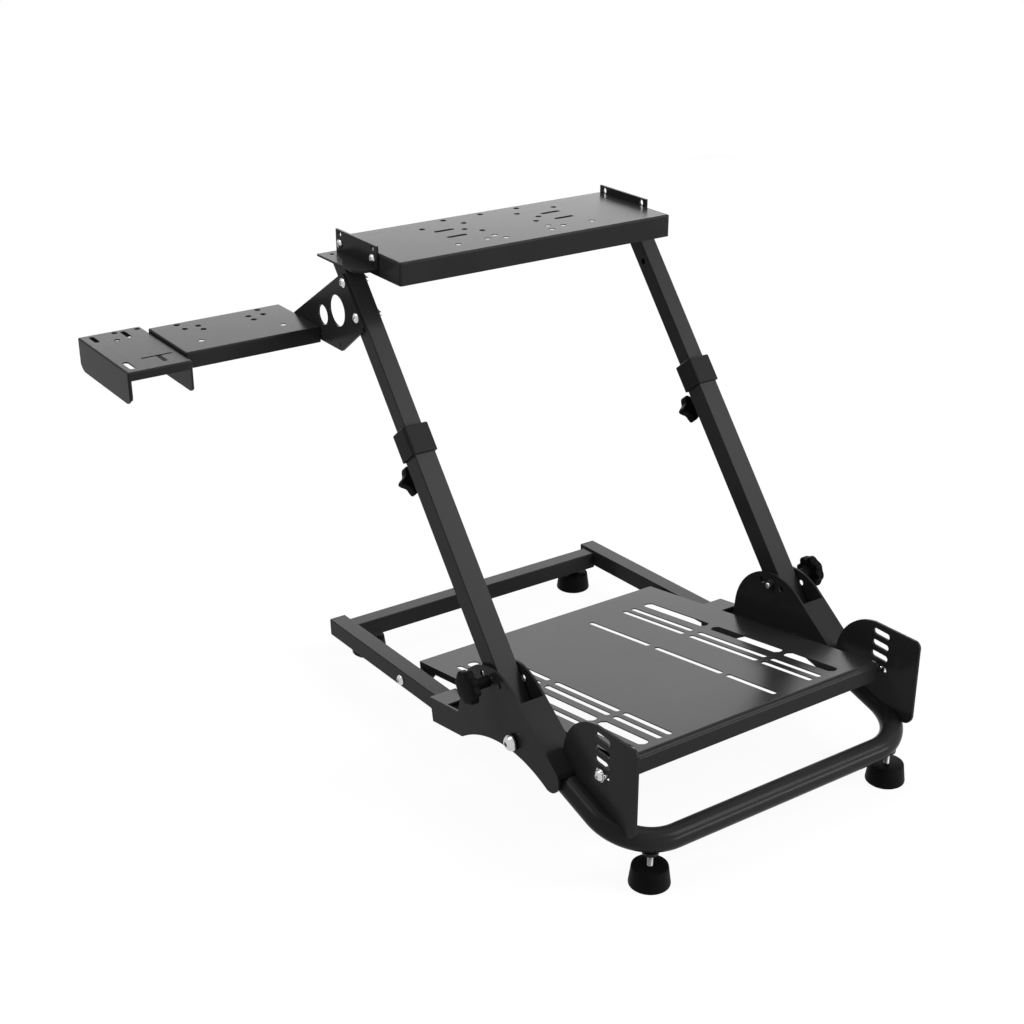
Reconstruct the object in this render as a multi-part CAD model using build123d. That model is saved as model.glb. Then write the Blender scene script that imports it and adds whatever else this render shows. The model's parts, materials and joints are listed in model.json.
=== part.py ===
"""Folding stand for a driving wheel and pedals: a low steel base with a tilting pedal plate,
two leaning uprights that telescope and fold back, a wheel deck on top and a shifter shelf beside it."""

import os
from math import cos, radians, sin, sqrt, tan

from build123d import *

# Frame while modelling: the stand's own mid-plane is x = 0, the front (foot end) is -Y,
# the driver sits at +Y and the floor is z = 0. Lengths are millimetres, angles degrees.

# Driving dimensions of the base
side_mid = 232.0
sheet_bracket = 3.0
cheek_gap = 33.7
rail_size = 25.0
rail_wall = 1.5
tube_corner = 1.2
rail_top_at_zero = 82.5
rail_fall = 2.6
rail_front = 140.0
rail_rear = 497.0
cross_front = 463.5
cross_drop = 3.0
rear_foot_x = 187.0
rear_foot_back = 5.5
foot_bottom_d = 52.0
foot_top_d = 46.0
foot_height = 25.5

# Front tube: one round tube bent to a U, its legs rising towards the brackets
tube_d = 30.0
tube_wall = 2.0
tube_front_y = -204.3
tube_front_z = 58.4
tube_rise = 15.0
tube_bend = 68.0
tube_leg = 170.0
front_foot_x = 195.0
front_foot_back = 6.7
stud_d = 8.0

# Uprights: square tubes that slide one inside the other and lean back
lean = 39.4
pivot_y = 2.9
pivot_z = 111.0
pivot_d = 10.0
running_gap = 0.05
lower_size = 30.0
lower_wall = 2.0
lower_tail = 10.0
lower_top = 400.0
upper_size = 25.0
upper_wall = 2.0
upper_bottom = 230.0
collar_size = 37.0
collar_bottom = 378.0
collar_top = 416.0
collar_gap = 0.3
height_knob_at = 358.8

# Lock holes of the brackets lie in a level row, the middle one on the upright's axis
lock_radius = 81.0
lock_pitch = 18.7
lock_hole_d = 9.0

# Wheel deck, a folded tray between the uprights
deck_length = 431.0
deck_front = 308.0
deck_depth = 160.0
deck_top = 636.5
deck_height = 30.5
deck_sheet = 1.2
deck_hole_d = 8.5
bolt_hole_d = 6.5
flange_z = 614.0
angle_sheet = 3.0

# Pedal plate, tilted up to the front
plate_width = 408.0
plate_length = 470.0
plate_rear_y = 306.0
plate_rear_z = 67.8
plate_tilt = 10.25
plate_sheet = 1.5
plate_pivot_back = 6.9
plate_pivot_drop = 15.0
plate_bolt_back = 452.0
plate_bolt_drop = 16.7
pedal_bolt_d = 8.0

# Shifter shelf and its end saddle, beside the left upright
shelf_top = 517.7
shelf_length = 194.0
shelf_front = 467.3
shelf_depth = 122.3
shelf_height = 21.8
saddle_top = 513.3
saddle_width = 87.4
saddle_front = 447.8
saddle_depth = 170.3
saddle_height = 44.0
saddle_sheet = 2.0

pieces = {}


def plate_yz(outline, x_from, x_to):
    """A plate of the given side outline between two x planes."""
    face = Plane.YZ.offset(x_from) * outline
    return extrude(face, amount=x_to - x_from, dir=(1, 0, 0))


def square_tube(size, wall, corner, length):
    """Square tube standing on the origin along +Z."""
    outer = RectangleRounded(size, size, corner)
    bore = RectangleRounded(size - 2 * wall, size - 2 * wall, max(corner - wall, 0.5))
    return extrude(outer - bore, amount=length)


def tray(length, depth, height, sheet, bend):
    """Folded tray, open below, its top face centred on the origin."""
    block = Pos(0, 0, -height / 2) * Box(length, depth, height)
    block = fillet(block.edges().filter_by(Axis.Z), bend)
    block = fillet(block.faces().sort_by(Axis.Z)[-1].edges(), bend - 0.5)
    return offset(block, amount=-sheet, openings=block.faces().sort_by(Axis.Z)[0])


def star_knob(lobes, size, thickness, valley):
    """Lobed hand knob along +Z from the origin, with a bevelled rim."""
    ring = size / 2 - valley
    shape = Circle(ring)
    shape += PolarLocations(ring, lobes) * Circle(valley)
    shape = fillet(shape.vertices(), valley / 2)
    knob = extrude(shape, amount=thickness)
    return chamfer(knob.faces().sort_by(Axis.Z)[-1].edges(), 1.2)


def pair(name, right):
    """Register a right-hand piece and its mirror image."""
    pieces["right_" + name] = right
    pieces["left_" + name] = mirror(right, about=Plane.YZ)


def along_upright(s, p=0.0):
    """Point at s along the upright from the pivot, p behind its axis, as (y, z)."""
    y = pivot_y + s * sin(radians(lean)) + p * cos(radians(lean))
    z = pivot_z + s * cos(radians(lean)) - p * sin(radians(lean))
    return (y, z)


# Local frames: the rails' frame, the right upright's frame and the pedal plate's frame
rail_frame = Pos(0, 0, rail_top_at_zero) * Rot(-rail_fall, 0, 0)
upright_frame = Pos(side_mid, pivot_y, pivot_z) * Rot(-lean, 0, 0)
plate_frame = Pos(0, plate_rear_y, plate_rear_z) * Rot(-plate_tilt, 0, 0)
tube_axis = (0, cos(radians(tube_rise)), sin(radians(tube_rise)))
tube_plane = Plane(
    origin=(0, tube_front_y, tube_front_z),
    x_dir=(1, 0, 0),
    z_dir=(0, -sin(radians(tube_rise)), cos(radians(tube_rise))),
)

# Front tube
tube_path = tube_plane * FilletPolyline(
    (side_mid, tube_leg),
    (side_mid, 0),
    (-side_mid, 0),
    (-side_mid, tube_leg),
    radius=tube_bend,
)
tube_end = Plane(origin=tube_path @ 0, z_dir=tube_path % 0)
tube_solid = sweep(tube_end * Circle(tube_d / 2), path=tube_path)
tube_bore = sweep(tube_end * Circle(tube_d / 2 - tube_wall), path=tube_path)
pieces["front_tube"] = tube_solid - tube_bore

# Side rails with plugged rear ends, and the cross bar between them
rail_inner = side_mid - cheek_gap / 2
rail_x = rail_inner + rail_size / 2
rail_length = rail_rear - rail_front
rail = square_tube(rail_size, rail_wall, tube_corner, rail_length)
rail_place = rail_frame * Pos(rail_x, rail_front, -rail_size / 2) * Rot(-90, 0, 0)
rail = rail_place * rail

plug_size = rail_size - 2 * rail_wall
plug = extrude(RectangleRounded(rail_size, rail_size, tube_corner), amount=3.0)
plug = chamfer(plug.faces().sort_by(Axis.Z)[-1].edges(), 0.8)
plug += Pos(0, 0, -12) * extrude(Rectangle(plug_size, plug_size), amount=12)
pair("rail_plug", rail_place * Pos(0, 0, rail_length) * plug)

cross_y = cross_front + rail_size / 2
cross_bar = square_tube(rail_size, rail_wall, tube_corner, 2 * rail_inner)
cross_bar = Pos(-rail_inner, cross_y, -cross_drop - rail_size / 2) * Rot(0, 90, 0) * cross_bar
pieces["rear_cross_bar"] = rail_frame * cross_bar

# Rear feet: rubber cones flat on the floor, each with a neck up to the cross bar
rubber_foot = Pos(0, 0, foot_height / 2) * Cone(foot_bottom_d / 2, foot_top_d / 2, foot_height)
rubber_foot = chamfer(rubber_foot.edges(), 1.2)
under_bar = rail_frame * Pos(rear_foot_x, cross_y + rear_foot_back, -cross_drop - rail_size)
neck_d = 14.0
neck_long = 12.0
rear_foot = Pos(rear_foot_x, under_bar.position.Y, 0) * rubber_foot
rear_foot += under_bar * Pos(0, 0, -neck_long / 2) * Cylinder(neck_d / 2, neck_long)
pair("rear_foot", rear_foot)

# Front feet: rubber cones on threaded studs under the bends of the front tube
bend_x = front_foot_x - (side_mid - tube_bend)
bend_v = tube_bend - sqrt(tube_bend**2 - bend_x**2)
foot_y = tube_front_y + front_foot_back
foot_axis_z = tube_front_z + bend_v * tube_axis[2]
foot_at = Pos(front_foot_x, foot_y, 0)
stud_sunk = 12.0
front_foot = rubber_foot - Pos(0, 0, foot_height - stud_sunk / 2) * Cylinder(stud_d / 2, stud_sunk)
pair("front_foot", foot_at * front_foot)

nut_bottom = 42.0
nut_d = 21.0
stud = extrude(Circle(stud_d / 2), amount=foot_axis_z - foot_height + stud_sunk)
stud = Pos(0, 0, foot_height - stud_sunk) * stud
stud += Pos(0, 0, nut_bottom) * extrude(Circle(nut_d / 2), amount=foot_axis_z - nut_bottom)
pair("foot_stud", foot_at * stud - tube_solid)

# Brackets: a folded channel per side. Its cheeks rise to an arc for the lock holes,
# the front web closes the lower front and a short web closes the sleeve over the rail.
arc_y = 48.0
arc_z = 111.8
arc_r = 78.2
web_slope = 35.7
web_short = 11.5
arc_end = 90.0 + web_slope
front_top = (arc_y + arc_r * cos(radians(arc_end)), arc_z + arc_r * sin(radians(arc_end)))
front_run = 90.4
front_low = (front_top[0] - front_run, front_top[1] - front_run * tan(radians(web_slope)))
sleeve_rear_top = (200.5, 78.0)
sleeve_step = (131.0, 90.2)
sleeve_rear_low = (194.0, 44.0)
sleeve_front_low = (121.5, 57.2)
toe_low = (-68.0, 79.5)
cheek_edge = Curve() + [
    Line(sleeve_rear_top, sleeve_step),
    Line(sleeve_step, (arc_y + arc_r, arc_z)),
    ThreePointArc((arc_y + arc_r, arc_z), (arc_y, arc_z + arc_r), front_top),
    Line(front_top, front_low),
    ThreePointArc(front_low, (-89.5, 91.0), toe_low),
    ThreePointArc(toe_low, (10.5, 95.0), sleeve_front_low),
    Line(sleeve_front_low, sleeve_rear_low),
    Line(sleeve_rear_low, sleeve_rear_top),
]
cheek_in = side_mid - cheek_gap / 2 - sheet_bracket
cheek_out = side_mid + cheek_gap / 2 + sheet_bracket
bracket_block = plate_yz(make_face(cheek_edge), cheek_in, cheek_out)
bracket = bracket_block

web_in = (sheet_bracket * sin(radians(web_slope)), -sheet_bracket * cos(radians(web_slope)))
web_along = (cos(radians(web_slope)), sin(radians(web_slope)))
web_top = (
    front_top[0] + web_in[0] - web_short * web_along[0],
    front_top[1] + web_in[1] - web_short * web_along[1],
)
web_foot = (front_low[0] + web_in[0] - 40 * web_along[0], front_low[1] + web_in[1] - 40 * web_along[1])
sleeve_web_front = 161.5
sleeve_fall = (sleeve_step[1] - sleeve_rear_top[1]) / (sleeve_rear_top[0] - sleeve_step[0])


def under_sleeve_web(y):
    """Height of the underside of the sleeve's top web."""
    return sleeve_rear_top[1] + (sleeve_rear_top[0] - y) * sleeve_fall - sheet_bracket


far = 80.0
hollow_edge = Polyline(
    web_foot,
    web_top,
    (web_top[0] - 3 * web_in[0], web_top[1] - 3 * web_in[1]),
    (front_top[0] - 3, arc_z + arc_r + far),
    (sleeve_web_front, arc_z + arc_r + far),
    (sleeve_web_front, under_sleeve_web(sleeve_web_front)),
    (sleeve_rear_top[0] + far, under_sleeve_web(sleeve_rear_top[0] + far)),
    (sleeve_rear_top[0] + far, -far),
    (web_foot[0], -far),
    close=True,
)
bracket -= plate_yz(make_face(hollow_edge), rail_inner, rail_inner + cheek_gap)
bracket -= tube_solid

cheek_span = cheek_out - cheek_in + 2


def cross_hole(y, z, diameter):
    """A hole along X through both cheeks."""
    return Pos(side_mid, y, z) * Rot(0, 90, 0) * Cylinder(diameter / 2, cheek_span)


bracket -= cross_hole(pivot_y, pivot_z, pivot_d)
lock_y, lock_z = along_upright(lock_radius)
for step in (-1, 0, 1):
    bracket -= cross_hole(lock_y + step * lock_pitch, lock_z, lock_hole_d)
pair("bracket", bracket)

# Pivot bolts of the uprights: shank through both cheeks, domed head outside, nut inside
head_d = 18.0
head_h = 8.5
nut_across = 16.0
nut_h = 3.0
washer_h = 5.0
spacer_play = 0.3
side_spacer = (cheek_gap - lower_size) / 2 - spacer_play
pivot_bolt = Pos(0, 0, cheek_in - nut_h) * extrude(
    Circle(pivot_d / 2), amount=cheek_out - cheek_in + nut_h + washer_h
)
pivot_bolt += Pos(0, 0, cheek_in - nut_h) * extrude(
    RegularPolygon(nut_across / 2, 6, major_radius=False), amount=nut_h
)
pivot_bolt += Pos(0, 0, cheek_out) * extrude(Circle(head_d / 2 + 2), amount=washer_h)
head = Pos(0, 0, head_h / 2) * Cylinder(head_d / 2, head_h)
head = chamfer(head.faces().sort_by(Axis.Z)[-1].edges(), head_h / 2)
pivot_bolt += Pos(0, 0, cheek_out + washer_h) * head
for spacer_at in (cheek_in + sheet_bracket, cheek_out - sheet_bracket - side_spacer):
    pivot_bolt += Pos(0, 0, spacer_at) * extrude(Circle(nut_across / 2), amount=side_spacer)
to_x = Pos(0, pivot_y, pivot_z) * Rot(0, 90, 0)
pair("pivot_bolt", to_x * pivot_bolt)

# Lock knobs on the outer cheeks
lock_hub = 27.0
lock_knob = star_knob(8, 45.0, 12.0, 6.4)
lock_knob += Pos(0, 0, -lock_hub) * extrude(Circle(7.5), amount=lock_hub)
lock_knob += Pos(0, 0, -lock_hub - sheet_bracket) * extrude(
    Circle(lock_hole_d / 2), amount=sheet_bracket
)
lock_place = Pos(cheek_out + lock_hub, lock_y, lock_z) * Rot(0, 90, 0)
pair("lock_knob", lock_place * lock_knob)

# Pedal ears: slotted plates standing on the legs of the front tube
ear_x = 223.5
ear_sheet = 3.0
ear_seat = 11.0


def leg_axis(y):
    """Point at y on the side view of the front tube's leg, raised to the ears' lower edge."""
    return (y, tube_front_z + (y - tube_front_y) * tan(radians(tube_rise)) + ear_seat)


ear_low_front = leg_axis(-190.0)
ear_low_rear = leg_axis(-65.0)
ear_edge = Curve() + [
    Line(ear_low_front, ear_low_rear),
    ThreePointArc(ear_low_rear, (-82.8, 168.0), (-128.0, 192.7)),
    Line((-128.0, 192.7), (-197.0, 195.2)),
    ThreePointArc((-197.0, 195.2), (-204.2, 192.6), (-206.5, 185.5)),
    Line((-206.5, 185.5), (-206.5, 88.6)),
    ThreePointArc((-206.5, 88.6), (-202.1, 78.0), ear_low_front),
]
ear = plate_yz(make_face(ear_edge), ear_x, ear_x + ear_sheet)
ear -= tube_solid
ear -= bracket_block
clamp_at = plate_frame * Pos(0, -plate_bolt_back, -plate_bolt_drop)
slot_rows = 4
slot_pitch = 16.2
slot_long = 28.0
for row in range(slot_rows):
    slot = SlotOverall(slot_long, pedal_bolt_d + 0.5)
    slot_z = clamp_at.position.Z + row * slot_pitch
    ear -= plate_yz(Pos(clamp_at.position.Y, slot_z) * slot, ear_x - 1, ear_x + ear_sheet + 1)
pair("pedal_ear", ear)

# Pedal plate: folded sheet with a front flange, low side edges, lugs for its bolts and slots
half = plate_width / 2
flange_h = 24.0
side_lip = 10.0
plate_bend = 7.0
bend_y = -plate_length + plate_bend
bend_inner = plate_bend - plate_sheet
diagonal = sqrt(0.5)
fold_edge = Curve() + [
    Line((0, 0), (bend_y, 0)),
    ThreePointArc((bend_y, 0), (bend_y - plate_bend * diagonal, plate_bend * (diagonal - 1)),
                  (-plate_length, -plate_bend)),
    Line((-plate_length, -plate_bend), (-plate_length, -flange_h)),
    Line((-plate_length, -flange_h), (-plate_length + plate_sheet, -flange_h)),
    Line((-plate_length + plate_sheet, -flange_h), (-plate_length + plate_sheet, -plate_bend)),
    ThreePointArc((-plate_length + plate_sheet, -plate_bend),
                  (bend_y - bend_inner * diagonal, bend_inner * diagonal - plate_bend),
                  (bend_y, -plate_sheet)),
    Line((bend_y, -plate_sheet), (0, -plate_sheet)),
    Line((0, -plate_sheet), (0, 0)),
]
plate = plate_yz(make_face(fold_edge), -half, half)
lug_edge = Curve() + [
    Line((0, -plate_sheet), (0, -16.0)),
    RadiusArc((0, -16.0), (-8.0, -24.0), 8.0),
    Line((-8.0, -24.0), (-24.0, -24.0)),
    Line((-24.0, -24.0), (-40.0, -side_lip)),
    Line((-40.0, -side_lip), (-425.0, -side_lip)),
    Line((-425.0, -side_lip), (-440.0, -flange_h)),
    Line((-440.0, -flange_h), (-plate_length + plate_bend, -flange_h)),
    Line((-plate_length + plate_bend, -flange_h), (-plate_length + plate_bend, -plate_sheet)),
    Line((-plate_length + plate_bend, -plate_sheet), (0, -plate_sheet)),
]
lug = plate_yz(make_face(lug_edge), half - plate_sheet, half)
lug -= Pos(half, -plate_pivot_back, -plate_pivot_drop) * Rot(0, 90, 0) * Cylinder(
    pedal_bolt_d / 2 + running_gap, 20
)
lug -= Pos(half, -plate_bolt_back, -plate_bolt_drop) * Rot(0, 90, 0) * Cylinder(
    pedal_bolt_d / 2 + 0.25, 20
)
plate += lug
plate += mirror(lug, about=Plane.YZ)

slot_runs = [(59.0, 196.0), (209.5, 348.0), (357.5, 450.5)]
narrow_columns = [47.6, 108.2, 123.8, -120.1, -135.6, -177.5]
wide_columns = [149.7, -158.1]
narrow_w = 8.0
wide_w = 15.0
for near, far_end in slot_runs:
    centre = -(near + far_end) / 2
    run = far_end - near
    for column in narrow_columns:
        plate -= Pos(column, centre, 0) * extrude(
            SlotOverall(run, narrow_w, rotation=90), amount=20, both=True
        )
    for column in wide_columns:
        wide = Rectangle(wide_w, run)
        wide = chamfer(wide.vertices(), wide_w / 3)
        plate -= Pos(column, centre, 0) * extrude(wide, amount=20, both=True)
pieces["pedal_plate"] = plate_frame * plate

# Pedal pivots: bolts through the rails, with a spacer each, on which the plate's lugs turn
pedal_pivot = plate_frame * Pos(0, -plate_pivot_back, -plate_pivot_drop)
pedal_pivot_y = pedal_pivot.position.Y
pedal_pivot_z = pedal_pivot.position.Z
spacer_d = 14.0
spacer_gap = 0.3
rail_outer = rail_inner + rail_size
small_head_d = 15.0
small_head_h = 5.0
inner_nut_h = 6.0
inner_nut_x = half - plate_sheet - spacer_gap
axle = Pos(0, 0, inner_nut_x - inner_nut_h) * extrude(
    Circle(pedal_bolt_d / 2), amount=rail_outer - inner_nut_x + inner_nut_h
)
axle += Pos(0, 0, half + spacer_gap) * extrude(
    Circle(spacer_d / 2), amount=rail_inner - half - spacer_gap
)
axle += Pos(0, 0, inner_nut_x - inner_nut_h) * extrude(
    RegularPolygon(6.5, 6, major_radius=False), amount=inner_nut_h
)
small_head = Pos(0, 0, small_head_h / 2) * Cylinder(small_head_d / 2, small_head_h)
small_head = chamfer(small_head.faces().sort_by(Axis.Z)[-1].edges(), small_head_h / 2)
axle += Pos(0, 0, rail_outer) * small_head
pair("pedal_pivot", Pos(0, pedal_pivot_y, pedal_pivot_z) * Rot(0, 90, 0) * axle)

rail -= Pos(rail_x, pedal_pivot_y, pedal_pivot_z) * Rot(0, 90, 0) * Cylinder(
    pedal_bolt_d / 2, rail_size + 2
)
pair("rail", rail)

# Pedal clamp bolts: through a slot of each ear, with a spacer that ends beside the plate's lug
ear_outer = ear_x + ear_sheet
clamp = Pos(0, 0, half + spacer_gap) * extrude(
    Circle(spacer_d / 2), amount=ear_x - half - spacer_gap
)
clamp += Pos(0, 0, ear_x) * extrude(Circle(pedal_bolt_d / 2), amount=ear_sheet)
clamp_washer_h = 3.5
clamp += Pos(0, 0, ear_outer) * extrude(Circle(small_head_d / 2 + 1), amount=clamp_washer_h)
clamp += Pos(0, 0, ear_outer + clamp_washer_h) * small_head
pair("pedal_clamp", Pos(0, clamp_at.position.Y, clamp_at.position.Z) * Rot(0, 90, 0) * clamp)

# Lower tubes of the uprights, with a hole for the pivot bolt and one for the height screw
lower = Pos(0, 0, -lower_tail) * square_tube(lower_size, lower_wall, tube_corner, lower_top + lower_tail)
lower -= Rot(0, 90, 0) * Cylinder(pivot_d / 2 + running_gap, lower_size + 2)
lower -= Pos(0, 0, lock_radius) * Rot(0, 90, 0) * Cylinder(lock_hole_d / 2, lower_size + 2)
lower -= Pos(0, lower_size / 2, height_knob_at) * Rot(90, 0, 0) * Cylinder(4.0, 8.0)
pair("lower_tube", upright_frame * lower)

# Collars: plastic caps that guide the upper tubes
collar = extrude(RectangleRounded(collar_size, collar_size, 4.0), amount=collar_top - collar_bottom)
collar = chamfer(collar.faces().sort_by(Axis.Z)[-1].edges(), 1.0)
collar -= extrude(RectangleRounded(lower_size, lower_size, tube_corner), amount=lower_top - collar_bottom)
collar_bore = upper_size + 2 * collar_gap
collar -= extrude(RectangleRounded(collar_bore, collar_bore, tube_corner), amount=collar_top)
pair("collar", upright_frame * Pos(0, 0, collar_bottom) * collar)

# Height knobs: five-lobed, their screw tips just short of the upper tubes
screw_tip = upper_size / 2 + 0.6
boss_h = 7.0
neck_h = 11.0
height_knob = Pos(0, 0, lower_size / 2 + boss_h + neck_h) * star_knob(5, 40.0, 15.0, 6.5)
height_knob += Pos(0, 0, screw_tip) * extrude(Circle(4.0), amount=lower_size / 2 - screw_tip)
height_knob += Pos(0, 0, lower_size / 2) * extrude(Circle(8.0), amount=boss_h)
height_knob += Pos(0, 0, lower_size / 2 + boss_h) * extrude(Circle(6.5), amount=neck_h)
pair("height_knob", upright_frame * Pos(0, 0, height_knob_at) * Rot(-90, 0, 0) * height_knob)

# Upper tubes, cut level under the deck's angle brackets
upper_long = 460.0
gusset_bolt_d = 8.5
gusset_bolt_at = [625.0, 575.0]
upper = Pos(0, 0, upper_bottom) * square_tube(upper_size, upper_wall, tube_corner, upper_long)
for bolt_s in gusset_bolt_at:
    upper -= Pos(0, 0, bolt_s) * Rot(0, 90, 0) * Cylinder(gusset_bolt_d / 2, upper_size + 2)
upper = split(upright_frame * upper, bisect_by=Plane.XY.offset(flange_z), keep=Keep.BOTTOM)
pair("upper_tube", upper)

# Wheel deck with its pattern of holes and slots
deck = tray(deck_length, deck_depth, deck_height, deck_sheet, 2.8)
deck_mid = deck_front + deck_depth / 2
mirrored_holes = [(60.0, 455.0), (43.5, 429.0), (60.0, 401.0), (43.5, 383.0), (107.5, 432.0),
                  (107.5, 342.0), (61.0, 344.0), (43.0, 354.0), (37.0, 336.0)]
deck_holes = [(0.0, 455.0)]
for hole_x, hole_y in mirrored_holes:
    deck_holes += [(hole_x, hole_y), (-hole_x, hole_y)]
for hole_x, hole_y in deck_holes:
    deck -= Pos(hole_x, hole_y - deck_mid, 0) * Cylinder(deck_hole_d / 2, 20)
deck_slot_x = 86.5
deck_slot_long = 31.0
for slot_row in (410.5, 378.0):
    for side in (-1, 1):
        deck -= Pos(side * deck_slot_x, slot_row - deck_mid, 0) * extrude(
            SlotOverall(deck_slot_long, 7.0), amount=10, both=True
        )
angle_bolts = [372.0, 457.0]
angle_bolt_z = 628.0
angle_row_pitch = 12.0
for bolt_y in angle_bolts:
    deck -= Pos(0, bolt_y - deck_mid, angle_bolt_z - deck_top) * Rot(0, 90, 0) * Cylinder(
        bolt_hole_d / 2, deck_length + 10
    )
pieces["wheel_deck"] = Pos(0, deck_mid, deck_top) * deck

# Angle brackets that carry the deck on the upper tubes
angle_rear = 467.5
angle_front = 361.0
angle_outer = side_mid + 15.5
angle_high = 646.5
angle_in = deck_length / 2
angle_depth = angle_rear - angle_front
angle_mid = (angle_rear + angle_front) / 2
ledge = Pos((angle_in + angle_outer) / 2, angle_mid) * Rectangle(angle_outer - angle_in, angle_depth)
ledge = fillet(ledge.vertices().group_by(Axis.X)[-1].sort_by(Axis.Y)[0], 16.0)
angle = Pos(0, 0, flange_z) * extrude(ledge, amount=angle_sheet)
angle += Pos(angle_in + angle_sheet / 2, angle_mid, (flange_z + angle_high) / 2) * Box(
    angle_sheet, angle_depth, angle_high - flange_z
)
for bolt_y in angle_bolts:
    bolt_hole = Pos(angle_in, bolt_y, angle_bolt_z) * Rot(0, 90, 0)
    angle -= bolt_hole * Cylinder(bolt_hole_d / 2, 20)
    spare_hole = Pos(angle_in, bolt_y, angle_bolt_z + angle_row_pitch) * Rot(0, 90, 0)
    angle -= spare_hole * Cylinder(deck_hole_d / 2, 20)
angle -= Pos(side_mid, 455.0, flange_z) * Cylinder(bolt_hole_d / 2, 20)
pair("deck_angle", angle)

# Shifter gusset: a pierced plate on the outer face of the left upper tube
gusset_in = side_mid + upper_size / 2
gusset_sheet = 3.0
gusset_out = gusset_in + gusset_sheet
front_edge = -8.0
gusset_edge = Polyline(
    along_upright(554.0, front_edge),
    along_upright(636.0, front_edge),
    (545.0, 517.0),
    (552.0, 498.8),
    (410.0, 498.8),
    close=True,
)
gusset_face = make_face(gusset_edge)
gusset_face = fillet(gusset_face.vertices(), 7.0)
gusset = plate_yz(gusset_face, -gusset_out, -gusset_in)
gusset_holes = [(419.6, 552.0, 42.0), (459.5, 536.0, 27.0), (414.0, 507.0, 5.0),
                (439.0, 507.0, 5.0), (464.0, 508.0, 5.0)]
gusset_holes += [along_upright(bolt_s) + (gusset_bolt_d,) for bolt_s in gusset_bolt_at]
for hole_y, hole_z, hole_d in gusset_holes:
    gusset -= Pos(-gusset_in, hole_y, hole_z) * Rot(0, 90, 0) * Cylinder(hole_d / 2, 20)
pieces["shifter_gusset"] = gusset

# Shifter shelf: a folded tray with two mirrored groups of holes
shelf = tray(shelf_length, shelf_depth, shelf_height, deck_sheet, 2.4)
shelf_x = -gusset_out - shelf_length / 2
shelf_mid = shelf_front + shelf_depth / 2
shelf_group = [(59.5, 580.5), (57.5, 559.0), (37.0, 562.0), (37.0, 545.0), (59.5, 503.0)]
for hole_x, hole_y in shelf_group:
    for side in (-1, 1):
        shelf -= Pos(side * hole_x, hole_y - shelf_mid, 0) * Cylinder(deck_hole_d / 2, 10)
pieces["shifter_shelf"] = Pos(shelf_x, shelf_mid, shelf_top) * shelf

# End saddle: a channel across the shelf's end, with deep side walls and a short front lip
saddle_x = -gusset_out - shelf_length - saddle_width / 2
saddle_mid = saddle_front + saddle_depth / 2
lip_h = 11.5
front_corner = 13.0
rear_corner = 18.0
saddle = tray(saddle_width, saddle_depth, saddle_height, saddle_sheet, 2.8)
reach = saddle_width + 10
saddle_cut = make_face(Polyline(
    (-saddle_depth / 2 - 5, -lip_h), (-saddle_depth / 2 + saddle_sheet + 0.5, -lip_h),
    (-saddle_depth / 2 + saddle_sheet + 0.5, -saddle_height - 5), (-saddle_depth / 2 - 5, -saddle_height - 5),
    close=True))
saddle -= extrude(Plane.YZ * saddle_cut, amount=saddle_width / 2 - 4.0, both=True, dir=(1, 0, 0))
wall_edge = Pos(0, -saddle_height / 2) * Rectangle(saddle_depth, saddle_height)
low_corners = wall_edge.vertices().group_by(Axis.Y)[0].sort_by(Axis.X)
wall_edge = fillet(low_corners[0], front_corner)
wall_edge = fillet(wall_edge.vertices().sort_by(Axis.X)[-2:].sort_by(Axis.Y)[0], rear_corner)
saddle &= extrude(Plane.YZ * wall_edge, amount=reach, both=True, dir=(1, 0, 0))
open_rear = Pos(0, saddle_depth / 2, -saddle_height / 2 - lip_h)
saddle -= open_rear * Box(saddle_width - 8, 2 * saddle_sheet + 1, saddle_height)


def saddle_slot(x_from, y_from, x_to, y_to, width):
    """Straight slot in the saddle's top, between two end points of its axis."""
    run = sqrt((x_to - x_from) ** 2 + (y_to - y_from) ** 2)
    middle = Pos((x_from + x_to) / 2 - saddle_x, (y_from + y_to) / 2 - saddle_mid, 0)
    turn = 0 if abs(x_to - x_from) > abs(y_to - y_from) else 90
    return middle * extrude(SlotCenterToCenter(run, width, rotation=turn), amount=8, both=True)


for hole_x, hole_y in [(-481.2, 608.0), (-449.5, 608.0), (-489.3, 579.1)]:
    saddle -= Pos(hole_x - saddle_x, hole_y - saddle_mid, 0) * Cylinder(4.0, 10)
saddle -= saddle_slot(-514.0, 606.0, -514.0, 587.0, 7.0)
saddle -= saddle_slot(-470.5, 606.0, -470.5, 583.0, 7.0)
saddle -= saddle_slot(-491.0, 491.5, -452.0, 491.5, 4.0)
saddle -= saddle_slot(-470.0, 490.0, -470.0, 468.0, 6.5)
saddle -= saddle_slot(-516.0, 486.0, -516.0, 464.0, 8.0)
pieces["shifter_saddle"] = Pos(saddle_x, saddle_mid, saddle_top) * saddle

# The finished stand is set on the floor with the middle of its box over the origin
box = Compound(list(pieces.values())).bounding_box()
shift = Pos(-(box.min.X + box.max.X) / 2, -(box.min.Y + box.max.Y) / 2, -box.min.Z)
print("shift", [round(v, 3) for v in shift.position])
print("size", [round(v, 2) for v in box.size])
print("pedal pivot", round(pedal_pivot_y, 3), round(pedal_pivot_z, 3))

os.makedirs("parts", exist_ok=True)
for name, piece in pieces.items():
    export_step(shift * piece, f"parts/{name}.step")
print(len(pieces), "pieces")
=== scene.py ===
# %% [markdown]
# # A folding stand for a driving wheel
#
# The stand is bent sheet steel and tube under a satin black powder coat, with black plastic knobs and
# collars, rubber feet and a few bright bolts. The solids are ready-made and come in as a fixed frame.
# This lesson dresses them: it sets the camera and the studio, mixes the finishes, and models the small
# hardware that the solids leave plain.

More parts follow.
